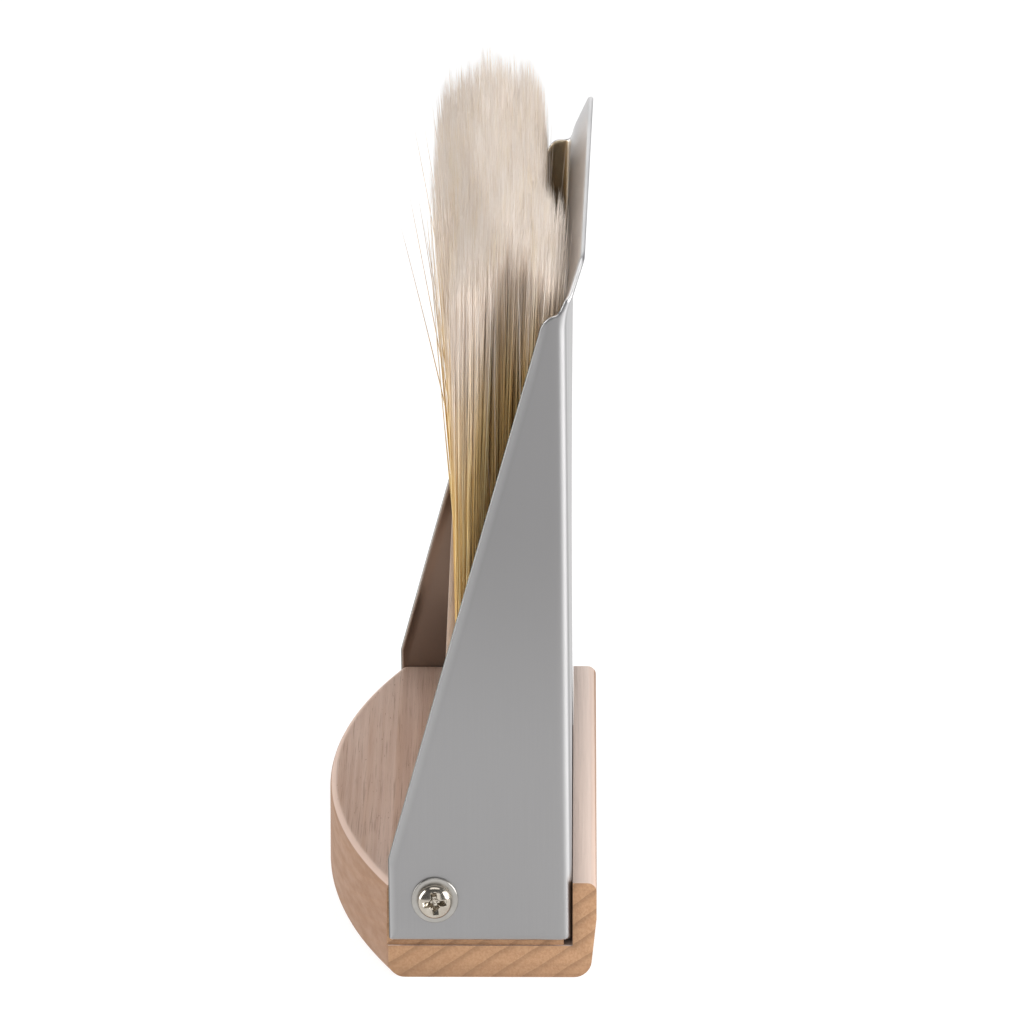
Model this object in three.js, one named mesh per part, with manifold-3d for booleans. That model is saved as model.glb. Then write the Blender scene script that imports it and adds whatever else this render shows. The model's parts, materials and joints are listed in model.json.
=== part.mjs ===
// A hand brush and its sheet-metal scoop, as used to sweep bees, pollen and debris out of a hive.
// The scoop stands on its wooden back with its mouth up, and the brush is stored in it, bristles up.
// Units are millimetres. +Z is up, from the wooden back to the lip of the scoop. Y runs across the
// width of the scoop. +X is the side that lies on the bench when the scoop is used, and -X is its open
// side. The origin is the middle of the bounding box, at the face that the scoop stands on.
import * as THREE from "three";
import { mergeVertices } from "three/addons/utils/BufferGeometryUtils.js";
import Module from "manifold-3d";

const wasm = await Module();
wasm.setup();

// The scoop's wooden back: a board whose open side is arched
const BLOCK_WIDTH = 119;
const BLOCK_THICKNESS = 15;
const BLOCK_END_DEPTH = 31.7; // size along X at the two ends
const BLOCK_ARCH = 10.1; // how far the arch swells past the ends
const BLOCK_TAPER = 1.0; // how far the bench side draws in towards the standing face
const BLOCK_TAPER_Z = 9.3; // where the taper starts
const BLOCK_FOOT_ROUND = 2.4; // rounding of the long edges at the standing face
const BLOCK_BENCH_ROUND = 1.4; // rounding of the upper edge on the bench side
const BLOCK_ARCH_ROUND = 1.4; // rounding of the upper edge of the arch
const REBATE_HEIGHT = 5; // above this, the ends are cut back for the walls, as far as the saw cut
const REBATE_DEPTH = 0.6;
const KERF_INSIDE = 0.5; // room in the saw cut, on the inner side of the sheet
const KERF_OUTSIDE = 0.05; // and on its outer side

// The scoop: one folded sheet, whose walls stand a little proud of the ends of the back
const SHEET_WIDTH = 120;
const SHEET = 0.8;
const BEND_RADIUS = 2; // on the outside of the fold
const SHEET_FOOT = 6; // height of the sheet's lower edge
const FLOOR_SETBACK = 3.7; // from the back's bench side to the outer face of the floor
const FLOOR_LEAN = 1.0; // how far the floor leans to the open side by its top
const WALL_CORNER_Z = 17.8; // where the sloping edge of a wall starts
const WALL_TIP_Z = 104; // top of the blunt tip of a wall
const WALL_TIP_WIDTH = 3.6;
const WALL_FOOT_ROUND = 0.6;
const FAR_WALL_DROP = 1.0; // the wall at +Y is cut this much lower
const SHEET_TWIST = 1.5; // how far the top of the sheet stands further out at +Y than at -Y
const FLOOR_TOP_Z = 102; // where the floor bends into the lip
const LIP_BEND_END_Z = 106.5;
const LIP_BEND_OUT = 0.72; // how far the lip has swung out by the end of its bend
const LIP_SLOPE = 0.38; // outward run of the lip for each unit of height
const LIP_Z = 111.6;
const LIP_NEAR_END = { foot: [60, 105.2], top: [53, 111.6] }; // the slanting end at -Y, as (distance, height)
const LIP_FAR_END = { foot: [58.6, 103.6], top: [53.8, 111.6] }; // and at +Y
const LIP_ROUND = 2.4; // of the lip's corners

// The two screws through the walls into the ends of the back, each over a washer
const SCREW_INSET = 7.1; // from the wall's free edge
const SCREW_Z = 12.5;
const SCREW_RADIUS = 1.5;
const SCREW_LENGTH = 15;
const SCREW_POINT = 4;
const HEAD_RADIUS = 2.6;
const HEAD_HEIGHT = 2.1;
const RECESS_LENGTH = 4.1;
const RECESS_WIDTH = 0.95;
const RECESS_DEPTH = 1.2;
const PILOT_RADIUS = 1.6;
const WALL_HOLE_RADIUS = 1.7;
const WASHER_RADIUS = 3.55;
const WASHER_THICKNESS = 0.5;
const SEAT_GAP = 0.05; // between pieces that are screwed together

// The brush's wooden back: a board whose grip side is arched
const BRUSH_LENGTH = 113;
const BRUSH_THICKNESS = 16.5;
const BRUSH_HEIGHT = 26.6;
const BRUSH_ARCH = 10;
const BRUSH_CORNER = 2;
const BRUSH_INSET = 8.4; // from the walls' free edge to the open side of the brush
const BRUSH_GAP = 0.1; // under the arch, where the brush stands on the scoop's back

// The tufts: three rows, set in drilled holes
const ROWS = ["a", "b", "c"]; // from the open side of the scoop to its floor
const TUFTS_IN_OUTER_ROW = 17;
const TUFT_PITCH = 6.5;
const ROW_PITCH = 4.5;
const HOLE_RADIUS = 1.9;
const HOLE_DEPTH = 9;
const FOOT_RADIUS = 1.75;
const FOOT_LIFT = 0.3; // of the tuft's foot over the floor of its hole
const TIP_HALF_X = 2.15;
const TIP_HALF_Y = 3.0;
const ROW_SPREAD = 1.24; // row spacing at the tips over that at the holes
const LENGTH_SPREAD = 1.03;
const ROW_TIP_Z = { a: 113.4, b: 117.8, c: 114.4 };
const TIP_RISE = 1.3; // the trim of the tips rises by this from the middle to the +Y end
const CROWN = 2.5; // how far the middle of a tip stands over its rim
const LEAN_NEAR = 1.7; // the tufts at the -Y end lean to the floor of the scoop
const LEAN_FAR = -1.9; // and the others to its open side
const LEAN_FROM_Y = -26;
const LEAN_TO_Y = -2;

// Fineness of the round shapes
const ARCH_STEPS = 32;
const CORNER_STEPS = 4;
const ROUND_SIDES = 24;
const HOLE_SIDES = 10;
const TUFT_SIDES = 10;
const ROUND_SHARES = [0, 0.08, 0.3, 0.65, 1]; // heights in a rounded edge, as shares of its radius
const TWIST_RINGS = [15, 45, 75]; // heights at which the twist of the sheet is followed

// Places that follow from the driving dimensions
const BENCH_X = (BLOCK_END_DEPTH + BLOCK_ARCH) / 2;
const OPEN_X = BENCH_X - BLOCK_END_DEPTH; // the walls' free edge and the corners of the arch
const ARCH_X = -BENCH_X;
const HALF_WIDTH = SHEET_WIDTH / 2;
const BLOCK_HALF = BLOCK_WIDTH / 2;
const FLOOR_FOOT_X = BENCH_X - FLOOR_SETBACK; // outer face of the floor at its lower edge
const FLOOR_TOP_X = FLOOR_FOOT_X - FLOOR_LEAN;
const SCREW_X = OPEN_X + SCREW_INSET;
const BRUSH_X = OPEN_X + BRUSH_INSET + BRUSH_THICKNESS / 2;
const BRUSH_FOOT_Z = BLOCK_THICKNESS + BRUSH_GAP;
const BRUSH_FACE_Z = BRUSH_FOOT_Z + BRUSH_HEIGHT; // the face that the tufts stand in

// Where a drawing's own axes (right, up, towards the viewer) lie in the part's frame
const IN_XY = [new THREE.Vector3(1, 0, 0), new THREE.Vector3(0, 1, 0), new THREE.Vector3(0, 0, 1)];
const IN_XZ = [new THREE.Vector3(1, 0, 0), new THREE.Vector3(0, 0, 1), new THREE.Vector3(0, -1, 0)];
const IN_YZ = [new THREE.Vector3(0, 1, 0), new THREE.Vector3(0, 0, 1), new THREE.Vector3(1, 0, 0)];

function solidOf(geometry) {
  const bare = geometry.index ? geometry.toNonIndexed() : geometry.clone();
  bare.deleteAttribute("normal");
  bare.deleteAttribute("uv");
  const merged = mergeVertices(bare, 1e-4);
  return new wasm.Manifold(
    new wasm.Mesh({
      numProp: 3,
      vertProperties: new Float32Array(merged.attributes.position.array),
      triVerts: new Uint32Array(merged.index.array),
    }),
  );
}

function geometryOf(solid) {
  const mesh = solid.getMesh();
  const geometry = new THREE.BufferGeometry();
  geometry.setAttribute("position", new THREE.BufferAttribute(mesh.vertProperties, 3));
  geometry.setIndex(new THREE.BufferAttribute(mesh.triVerts, 1));
  const flat = geometry.toNonIndexed();
  flat.computeVertexNormals();
  return flat;
}

// A drawing thickened from `from` to `to` along its own normal.
function slab(shape, plane, from, to, steps = CORNER_STEPS) {
  const options = { depth: to - from, bevelEnabled: false, curveSegments: steps };
  const geometry = new THREE.ExtrudeGeometry(shape, options);
  geometry.translate(0, 0, from);
  return geometry.applyMatrix4(new THREE.Matrix4().makeBasis(...plane));
}

// A closed polygon with corners {x, y, round}; a corner without `round` stays sharp.
function roundedShape(corners) {
  const shape = new THREE.Shape();
  corners.forEach((corner, i) => {
    const here = new THREE.Vector2(corner.x, corner.y);
    const before = corners[(i + corners.length - 1) % corners.length];
    const after = corners[(i + 1) % corners.length];
    const towards = (other) => new THREE.Vector2(other.x, other.y).sub(here).setLength(corner.round ?? 0);
    const enter = here.clone().add(towards(before));
    const leave = here.clone().add(towards(after));
    if (i === 0) shape.moveTo(enter.x, enter.y);
    else shape.lineTo(enter.x, enter.y);
    if (corner.round) shape.quadraticCurveTo(here.x, here.y, leave.x, leave.y);
  });
  shape.closePath();
  return shape;
}

// A closed skin through rings of points, each seen anticlockwise from the ring that follows it.
function loft(rings) {
  const size = rings[0].length;
  const positions = rings.flatMap((ring) => ring.flatMap((p) => [p.x, p.y, p.z]));
  const index = [];
  for (let r = 0; r + 1 < rings.length; r++) {
    for (let i = 0; i < size; i++) {
      const a = r * size + i;
      const b = r * size + ((i + 1) % size);
      index.push(a, b, b + size, a, b + size, a + size);
    }
  }
  const cap = THREE.ShapeUtils.triangulateShape(rings[0].map((p) => new THREE.Vector2(p.x, p.y)), []);
  const last = (rings.length - 1) * size;
  cap.forEach(([a, b, c]) => index.push(a, c, b, last + a, last + b, last + c));
  const geometry = new THREE.BufferGeometry();
  geometry.setAttribute("position", new THREE.Float32BufferAttribute(positions, 3));
  geometry.setIndex(index);
  return geometry;
}

// A round bar along Y, between two values of Y.
function barAlongY(radius, x, z, fromY, toY, sides) {
  const bar = new THREE.CylinderGeometry(radius, radius, toY - fromY, sides);
  return bar.translate(x, (fromY + toY) / 2, z);
}

// How far a rounded edge stands back, at one distance from the face that it runs into.
function edgeInset(distance, radius) {
  return distance < radius ? radius - Math.sqrt(radius ** 2 - (radius - distance) ** 2) : 0;
}

// The scoop's wooden back at one height: a straight bench side, flat ends and an arched open side.
function blockRing(z) {
  const radius = (BLOCK_HALF ** 2 + BLOCK_ARCH ** 2) / (2 * BLOCK_ARCH);
  const foot = edgeInset(z, BLOCK_FOOT_ROUND);
  const archRadius = radius - foot - edgeInset(BLOCK_THICKNESS - z, BLOCK_ARCH_ROUND);
  const taper = BLOCK_TAPER * Math.max(0, 1 - z / BLOCK_TAPER_Z);
  const benchX = BENCH_X - taper - foot - edgeInset(BLOCK_THICKNESS - z, BLOCK_BENCH_ROUND);
  const sweep = Math.asin(BLOCK_HALF / archRadius);
  const arch = new THREE.EllipseCurve(
    ARCH_X + radius, 0, archRadius, archRadius, Math.PI - sweep, Math.PI + sweep,
  );
  const bench = [new THREE.Vector2(benchX, -BLOCK_HALF), new THREE.Vector2(benchX, BLOCK_HALF)];
  return [...bench, ...arch.getPoints(ARCH_STEPS)].map((p) => new THREE.Vector3(p.x, p.y, z));
}

// The scoop's wooden back, with a saw cut for the floor and its ends rebated for the walls.
function scoopBack() {
  const foot = ROUND_SHARES.map((share) => share * BLOCK_FOOT_ROUND);
  const top = ROUND_SHARES.map((share) => BLOCK_THICKNESS - share * BLOCK_ARCH_ROUND).reverse();
  let block = solidOf(loft([...foot, BLOCK_TAPER_Z, ...top].map(blockRing)));
  const kerf = roundedShape([
    { x: FLOOR_FOOT_X - SHEET - KERF_INSIDE, y: REBATE_HEIGHT },
    { x: FLOOR_FOOT_X + KERF_OUTSIDE, y: REBATE_HEIGHT },
    { x: FLOOR_FOOT_X + KERF_OUTSIDE, y: BLOCK_THICKNESS + 1 },
    { x: FLOOR_FOOT_X - SHEET - KERF_INSIDE, y: BLOCK_THICKNESS + 1 },
  ]);
  block = block.subtract(solidOf(slab(kerf, IN_XZ, -BLOCK_HALF - 1, BLOCK_HALF + 1)));
  for (const side of [-1, 1]) {
    const width = FLOOR_FOOT_X + KERF_OUTSIDE - ARCH_X + 1;
    const rebate = new THREE.BoxGeometry(width, 2 * REBATE_DEPTH, 2 * BLOCK_THICKNESS);
    rebate.translate(ARCH_X - 1 + width / 2, side * BLOCK_HALF, REBATE_HEIGHT + BLOCK_THICKNESS);
    const reach = [side * (BLOCK_HALF - SCREW_LENGTH - 2), side * (BLOCK_HALF + 1)].sort((a, b) => a - b);
    const pilot = barAlongY(PILOT_RADIUS, SCREW_X, SCREW_Z, ...reach, ROUND_SIDES);
    block = block.subtract(solidOf(rebate)).subtract(solidOf(pilot));
  }
  return geometryOf(block);
}

// The outer face of the floor, from its lower edge to above the lip.
function floorLine() {
  const bendEnd = new THREE.Vector2(FLOOR_TOP_X + LIP_BEND_OUT, LIP_BEND_END_Z);
  const bendStart = new THREE.Vector2(FLOOR_TOP_X, FLOOR_TOP_Z);
  const halfway = (FLOOR_TOP_Z + LIP_BEND_END_Z) / 2;
  const control = new THREE.Vector2(bendEnd.x - (LIP_BEND_END_Z - halfway) * LIP_SLOPE, halfway);
  const bend = new THREE.QuadraticBezierCurve(bendStart, control, bendEnd).getPoints(CORNER_STEPS + 2);
  const foot = new THREE.Vector2(FLOOR_FOOT_X, SHEET_FOOT);
  const rings = TWIST_RINGS.map((z) => {
    const share = (z - SHEET_FOOT) / (FLOOR_TOP_Z - SHEET_FOOT);
    return new THREE.Vector2(THREE.MathUtils.lerp(FLOOR_FOOT_X, FLOOR_TOP_X, share), z);
  });
  const top = new THREE.Vector2(bendEnd.x + (LIP_Z + 1 - LIP_BEND_END_Z) * LIP_SLOPE, LIP_Z + 1);
  return [foot, ...rings, ...bend, top];
}

// How far the sheet stands out at +Y compared with -Y: nothing in the saw cut, and more and more above.
function twistAt(z) {
  return SHEET_TWIST * Math.max(0, (z - BLOCK_THICKNESS) / (LIP_Z - BLOCK_THICKNESS)) ** 2;
}

// The folded section at one height: a floor with a wall at each end.
function foldedSection(outerX, z) {
  const half = HALF_WIDTH;
  const centre = outerX - BEND_RADIUS;
  const inner = BEND_RADIUS - SHEET;
  const quarter = Math.PI / 2;
  const path = new THREE.Path();
  path.moveTo(OPEN_X - 1, -half);
  path.lineTo(centre, -half);
  path.absarc(centre, -half + BEND_RADIUS, BEND_RADIUS, -quarter, 0, false);
  path.lineTo(outerX, half - BEND_RADIUS);
  path.absarc(centre, half - BEND_RADIUS, BEND_RADIUS, 0, quarter, false);
  path.lineTo(OPEN_X - 1, half);
  path.lineTo(OPEN_X - 1, half - SHEET);
  path.lineTo(centre, half - SHEET);
  path.absarc(centre, half - BEND_RADIUS, inner, quarter, 0, true);
  path.lineTo(outerX - SHEET, -half + BEND_RADIUS);
  path.absarc(centre, -half + BEND_RADIUS, inner, 0, -quarter, true);
  path.lineTo(OPEN_X - 1, -half + SHEET);
  const twist = (y) => (twistAt(z) * (y / half + 1)) / 2;
  return path.getPoints(CORNER_STEPS).map((p) => new THREE.Vector3(p.x + twist(p.y), p.y, z));
}

// The sheet seen along Y: a sloping wall with a blunt tip, set out by `shift`, and the lip past it.
function wallOutline(drop, shift) {
  const clear = 6;
  const tipZ = WALL_TIP_Z - drop;
  const lipX = FLOOR_TOP_X - 0.3;
  return roundedShape([
    { x: OPEN_X, y: SHEET_FOOT, round: WALL_FOOT_ROUND },
    { x: BENCH_X + clear, y: SHEET_FOOT },
    { x: BENCH_X + clear, y: LIP_Z + clear },
    { x: lipX + (LIP_Z + clear - LIP_BEND_END_Z) * LIP_SLOPE, y: LIP_Z + clear },
    { x: lipX, y: LIP_BEND_END_Z, round: 0.8 },
    { x: FLOOR_TOP_X - 1, y: tipZ + 0.2, round: 0.5 },
    { x: FLOOR_TOP_X + shift - WALL_TIP_WIDTH, y: tipZ - 0.1, round: 1.3 },
    { x: OPEN_X, y: WALL_CORNER_Z - drop, round: 2 },
  ]);
}

// The sheet seen along X, with the two slanting ends of the lip.
function frontOutline() {
  const [nearFoot, nearTop] = [LIP_NEAR_END.foot, LIP_NEAR_END.top];
  const [farFoot, farTop] = [LIP_FAR_END.foot, LIP_FAR_END.top];
  return roundedShape([
    { x: -HALF_WIDTH, y: SHEET_FOOT - 1 },
    { x: HALF_WIDTH, y: SHEET_FOOT - 1 },
    { x: HALF_WIDTH, y: WALL_TIP_Z - FAR_WALL_DROP },
    { x: farFoot[0], y: farFoot[1] },
    { x: farTop[0], y: farTop[1], round: LIP_ROUND },
    { x: -nearTop[0], y: nearTop[1], round: LIP_ROUND },
    { x: -nearFoot[0], y: nearFoot[1] },
  ]);
}

// The scoop's folded sheet: floor, two sloping walls and a lip that swings down to the bench.
function scoopSheet() {
  const line = floorLine();
  const folded = solidOf(loft(line.map((p) => foldedSection(p.x, p.y))));
  const farShift = twistAt(WALL_TIP_Z);
  const nearWall = solidOf(slab(wallOutline(0, 0), IN_XZ, 0, HALF_WIDTH + 1));
  const farWall = solidOf(slab(wallOutline(FAR_WALL_DROP, farShift), IN_XZ, -HALF_WIDTH - 1, 0));
  let sheet = folded
    .intersect(nearWall.add(farWall))
    .intersect(solidOf(slab(frontOutline(), IN_YZ, OPEN_X - 2, BENCH_X + 6)));
  const holes = barAlongY(WALL_HOLE_RADIUS, SCREW_X, SCREW_Z, -HALF_WIDTH - 1, HALF_WIDTH + 1, ROUND_SIDES);
  sheet = sheet.subtract(solidOf(holes));
  return geometryOf(sheet);
}

// A pan-head screw along Y, pointing to +Y, with the underside of its head at the origin.
function screw() {
  const crown = new THREE.EllipseCurve(0, HEAD_HEIGHT * 0.35, HEAD_RADIUS, HEAD_HEIGHT * 0.65, 0, Math.PI / 2);
  const profile = [
    new THREE.Vector2(0, -SCREW_LENGTH),
    new THREE.Vector2(SCREW_RADIUS, SCREW_POINT - SCREW_LENGTH),
    new THREE.Vector2(SCREW_RADIUS, 0),
    new THREE.Vector2(HEAD_RADIUS, 0),
    ...crown.getPoints(CORNER_STEPS + 1),
  ];
  profile[profile.length - 1].x = 0;
  let body = solidOf(new THREE.LatheGeometry(profile, ROUND_SIDES).rotateX(Math.PI));
  for (const [x, z] of [[RECESS_LENGTH, RECESS_WIDTH], [RECESS_WIDTH, RECESS_LENGTH]]) {
    const slot = new THREE.BoxGeometry(x, 2 * RECESS_DEPTH, z).translate(0, -HEAD_HEIGHT, 0);
    body = body.subtract(solidOf(slot));
  }
  return geometryOf(body);
}

// A flat washer around Y, with its outer face at the origin and its seat at +Y.
function washer() {
  const profile = [
    new THREE.Vector2(WALL_HOLE_RADIUS, 0),
    new THREE.Vector2(WASHER_RADIUS - 0.15, 0),
    new THREE.Vector2(WASHER_RADIUS, 0.15),
    new THREE.Vector2(WASHER_RADIUS, WASHER_THICKNESS),
    new THREE.Vector2(WALL_HOLE_RADIUS, WASHER_THICKNESS),
    new THREE.Vector2(WALL_HOLE_RADIUS, 0),
  ];
  return new THREE.LatheGeometry(profile, ROUND_SIDES);
}

// The middles of the holes in one row, along Y. The middle row stands between the outer ones.
function tuftPlaces(row) {
  const count = row === "b" ? TUFTS_IN_OUTER_ROW - 1 : TUFTS_IN_OUTER_ROW;
  return Array.from({ length: count }, (_, i) => (i - (count - 1) / 2) * TUFT_PITCH);
}

// The brush's wooden back, with its arch downwards and a drilled hole for each tuft.
function brushBack() {
  const half = BRUSH_LENGTH / 2;
  const rise = BRUSH_ARCH;
  const radius = (half * half + rise * rise) / (2 * rise);
  const outline = new THREE.Shape();
  outline.moveTo(half, BRUSH_FOOT_Z + rise);
  outline.lineTo(half, BRUSH_FACE_Z);
  outline.lineTo(-half, BRUSH_FACE_Z);
  outline.lineTo(-half, BRUSH_FOOT_Z + rise);
  const sweep = Math.asin(half / radius);
  outline.absarc(0, BRUSH_FOOT_Z + radius, radius, -Math.PI / 2 - sweep, -Math.PI / 2 + sweep, false);
  const from = BRUSH_X - BRUSH_THICKNESS / 2;
  const board = solidOf(slab(outline, IN_YZ, from, from + BRUSH_THICKNESS, ARCH_STEPS));
  const sideView = roundedShape([
    { x: from, y: BRUSH_FOOT_Z, round: BRUSH_CORNER },
    { x: from + BRUSH_THICKNESS, y: BRUSH_FOOT_Z, round: BRUSH_CORNER },
    { x: from + BRUSH_THICKNESS, y: BRUSH_FACE_Z },
    { x: from, y: BRUSH_FACE_Z },
  ]);
  let back = board.intersect(solidOf(slab(sideView, IN_XZ, -half - 1, half + 1)));
  ROWS.forEach((row, i) => {
    for (const y of tuftPlaces(row)) {
      const hole = new THREE.CylinderGeometry(HOLE_RADIUS, HOLE_RADIUS, 2 * HOLE_DEPTH, HOLE_SIDES);
      hole.rotateX(Math.PI / 2).translate(BRUSH_X + (i - 1) * ROW_PITCH, y, BRUSH_FACE_Z);
      back = back.subtract(solidOf(hole));
    }
  });
  return geometryOf(back);
}

// How far the tips lean along X, at one place along the brush.
function lean(y) {
  return THREE.MathUtils.mapLinear(THREE.MathUtils.smoothstep(y, LEAN_FROM_Y, LEAN_TO_Y), 0, 1, LEAN_NEAR, LEAN_FAR);
}

// One tuft of bristles, from its foot in the hole to its spread tip.
function tuft(row, y) {
  const across = (ROWS.indexOf(row) - 1) * ROW_PITCH;
  const foot = new THREE.Vector3(BRUSH_X + across, y, BRUSH_FACE_Z - HOLE_DEPTH + FOOT_LIFT);
  const mouth = new THREE.Vector3(foot.x, y, BRUSH_FACE_Z + 1);
  const tipZ = ROW_TIP_Z[row] + (TIP_RISE * y) / (BRUSH_LENGTH / 2);
  const tip = new THREE.Vector3(BRUSH_X + across * ROW_SPREAD + lean(y), y * LENGTH_SPREAD, tipZ - CROWN);
  const crown = tip.clone().setZ(tipZ);
  const ring = (centre, halfX, halfY) =>
    Array.from({ length: TUFT_SIDES }, (_, i) => {
      const angle = (2 * Math.PI * i) / TUFT_SIDES;
      return new THREE.Vector3(centre.x + halfX * Math.cos(angle), centre.y + halfY * Math.sin(angle), centre.z);
    });
  return loft([
    ring(foot, FOOT_RADIUS, FOOT_RADIUS),
    ring(mouth, FOOT_RADIUS, FOOT_RADIUS),
    ring(tip, TIP_HALF_X, TIP_HALF_Y),
    ring(crown, TIP_HALF_X / 2, TIP_HALF_Y / 2),
  ]);
}

const STEEL = new THREE.MeshStandardMaterial({ name: "brushed_steel", color: 0x9c9a9b, roughness: 0.36, metalness: 1 });
const PLATED = new THREE.MeshStandardMaterial({ name: "plated_steel", color: 0xc9c2b4, roughness: 0.22, metalness: 1 });
const BEECH = new THREE.MeshStandardMaterial({ name: "beech", color: 0xcda286, roughness: 0.6, metalness: 0 });
const BRISTLE = new THREE.MeshStandardMaterial({ name: "bristle", color: 0xd6c4a8, roughness: 0.55, metalness: 0 });

const brushSet = new THREE.Group();

function add(name, geometry, material) {
  const mesh = new THREE.Mesh(geometry, material);
  mesh.name = name;
  brushSet.add(mesh);
  return mesh;
}

add("scoop_sheet", scoopSheet(), STEEL);
add("scoop_back", scoopBack(), BEECH);
for (const [number, side] of [[1, -1], [2, 1]]) {
  const turn = side < 0 ? 0 : Math.PI;
  const washerMesh = add(`side_washer_${number}`, washer(), PLATED);
  washerMesh.position.set(SCREW_X, side * (HALF_WIDTH + SEAT_GAP + WASHER_THICKNESS), SCREW_Z);
  washerMesh.rotation.z = turn;
  const screwMesh = add(`side_screw_${number}`, screw(), PLATED);
  screwMesh.position.set(SCREW_X, side * (HALF_WIDTH + 2 * SEAT_GAP + WASHER_THICKNESS), SCREW_Z);
  screwMesh.rotation.z = turn;
}
add("brush_back", brushBack(), BEECH);
for (const row of ROWS) {
  tuftPlaces(row).forEach((y, i) => {
    add(`tuft_${row}${String(i + 1).padStart(2, "0")}`, tuft(row, y), BRISTLE);
  });
}

export default brushSet;
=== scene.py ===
"""The looks of a bee brush stored in its sheet-metal scoop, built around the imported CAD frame.

The scoop stands on its wooden back with its mouth up, and the brush stands in it, bristles up. Every piece
of the frame is replaced by a fine one in the same place. Shapes are worked out in millimetres in the frame's
axes (+Z up, Y across the width, -X the open side) and made in metres.
"""
import json
import math

import bmesh
import bpy
import numpy as np
from mathutils import Matrix, Vector


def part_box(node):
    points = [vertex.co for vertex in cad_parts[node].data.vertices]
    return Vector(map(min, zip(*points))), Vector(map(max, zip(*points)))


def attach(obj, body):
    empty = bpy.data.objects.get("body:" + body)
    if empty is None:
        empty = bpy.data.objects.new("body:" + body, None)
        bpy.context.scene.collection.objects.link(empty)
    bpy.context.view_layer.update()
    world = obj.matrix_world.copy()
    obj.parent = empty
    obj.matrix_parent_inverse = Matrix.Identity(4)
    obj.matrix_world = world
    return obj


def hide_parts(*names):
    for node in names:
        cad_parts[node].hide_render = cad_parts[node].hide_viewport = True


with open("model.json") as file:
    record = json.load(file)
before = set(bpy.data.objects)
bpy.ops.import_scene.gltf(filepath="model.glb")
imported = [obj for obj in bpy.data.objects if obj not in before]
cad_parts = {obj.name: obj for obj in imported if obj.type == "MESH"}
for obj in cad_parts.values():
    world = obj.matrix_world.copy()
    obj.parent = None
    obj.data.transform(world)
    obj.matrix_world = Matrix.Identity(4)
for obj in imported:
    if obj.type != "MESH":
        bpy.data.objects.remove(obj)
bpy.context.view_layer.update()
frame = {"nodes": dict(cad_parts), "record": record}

MM = 0.001

# The camera: a long lens, a little above the object
CAMERA_ELEVATION = 15.3  # degrees
CAMERA_TURN = 0.37  # degrees about Z
CAMERA_DISTANCE = 1700
CAMERA_LENS = 382.4  # mm on a 36 mm sensor
CAMERA_TARGET = (7.64, 0.0, 57.21)

# The folded sheet
SHEET = 0.8
BEND_RADIUS = 2  # on the outside
BEND_MIDDLE = BEND_RADIUS - SHEET / 2
BEND_LENGTH = BEND_MIDDLE * math.pi / 2
FLOOR_TOP_Z = 102  # where the floor bends into the lip
LIP_BEND_END_Z = 106.5
LIP_SLOPE = 0.38
SHEET_TWIST = 1.5  # how far the top of the sheet stands further out at +Y than at -Y
# The slanting end of the lip, by side: (distance from the middle, height) of its foot and of its top
LIP_ENDS = {
    -1: ((59.3, 105.9), (53, 111.6)),
    1: ((58.2, 104.4), (53.8, 111.6)),
}
LIP_ROUND = 2.4
FOLD_STRETCH = 1.2  # how much longer the part of the lip's end in the fold is on the flat sheet
# The blunt tip of a wall, by side: (distance past the fold, height)
WALL_TIPS = {
    -1: [(-1.3, 105.3), (-1.0, 104.6), (-0.5, 104.15), (0.1, 103.95), (0.7, 103.65), (1.15, 103.2),
         (1.6, 102.4)],
    1: [(-1.8, 103.7), (-1.2, 103.15), (-0.5, 103.0), (0.5, 103.0), (1.1, 102.85), (1.6, 102.4),
        (2.0, 101.8), (2.6, 100.5)],
}
WALL_CORNER_Z = 17.8  # where the slope of a wall starts
WALL_CORNER_RUN = 0.5  # the slope stops this far before the open edge
WALL_CORNER_BLUNT = ((0.2, 0.45), (0, -0.9))  # then (distance to the open edge, height over the corner)
FAR_WALL_DROP = 1.0
CURL_WIDTH = 1.5  # the sheared edges of the walls roll over a little
CURL_DEPTH = 0.3
CURL_FADE = 3  # past the fold, over which the roll sets in
SAME_LINE = 0.02  # points of the CAD sheet this close together lie on one line
RIM_INSET = (1.1, 0.9)  # the sheared rim is what lies this near the sheet's outer faces
WALL_SHADE_Z = (30, 75)  # over which the painted shade on the walls deepens
REFLECTION_PALE_Z = (84, 99)  # over which the painted reflection on the walls' inner faces gets paler, as painted light

# The wooden pieces
REBATE_Z = 5
REBATE_DEPTH = 0.6
KERF_INSIDE = 0.5
KERF_OUTSIDE = 0.05
TAPER = 1.0
TAPER_Z = 9.3
FOOT_ROUND = 2.4
BENCH_ROUND = 1.4
ARCH_ROUND = 1.4
ARRIS = 0.35  # sanding of the other edges
PILOT_RADIUS = 1.6
PILOT_PAST_SCREW = 1.5
LIT_STRIP_X = (14, 17)  # between these, painted light makes the tops of the bench side paler, where the lamp on the right falls
SHADED_FOOT_Z = 4.5  # below this, painted shade darkens the wood towards the foot
HOLE_RADIUS = 1.9
HOLE_DEPTH = 9
BRUSH_ARCH = 10
BRUSH_CORNER = 2

# The screws and washers
HEAD_HEIGHT = 2.1
HEAD_RIM_SHARE = 0.38  # of the head's height, where its dome starts
HEAD_CHAMFER = 0.12
SHANK_RADIUS = 1.45
THREAD_PITCH = 0.6
THREAD_DEPTH = 0.28
THREAD_TURNS = 18
POINT_LENGTH = 1.2
POINT_RADIUS_SHARE = 0.35
RECESS_LENGTH = 4.1
RECESS_WIDTH = 0.95
RECESS_DEPTH = 1.8
RECESS_TURN = -6  # degrees
WASHER_HOLE_RADIUS = 1.7
WASHER_HOLE_CHAMFER = 0.1
WASHER_EDGE = 0.22

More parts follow.
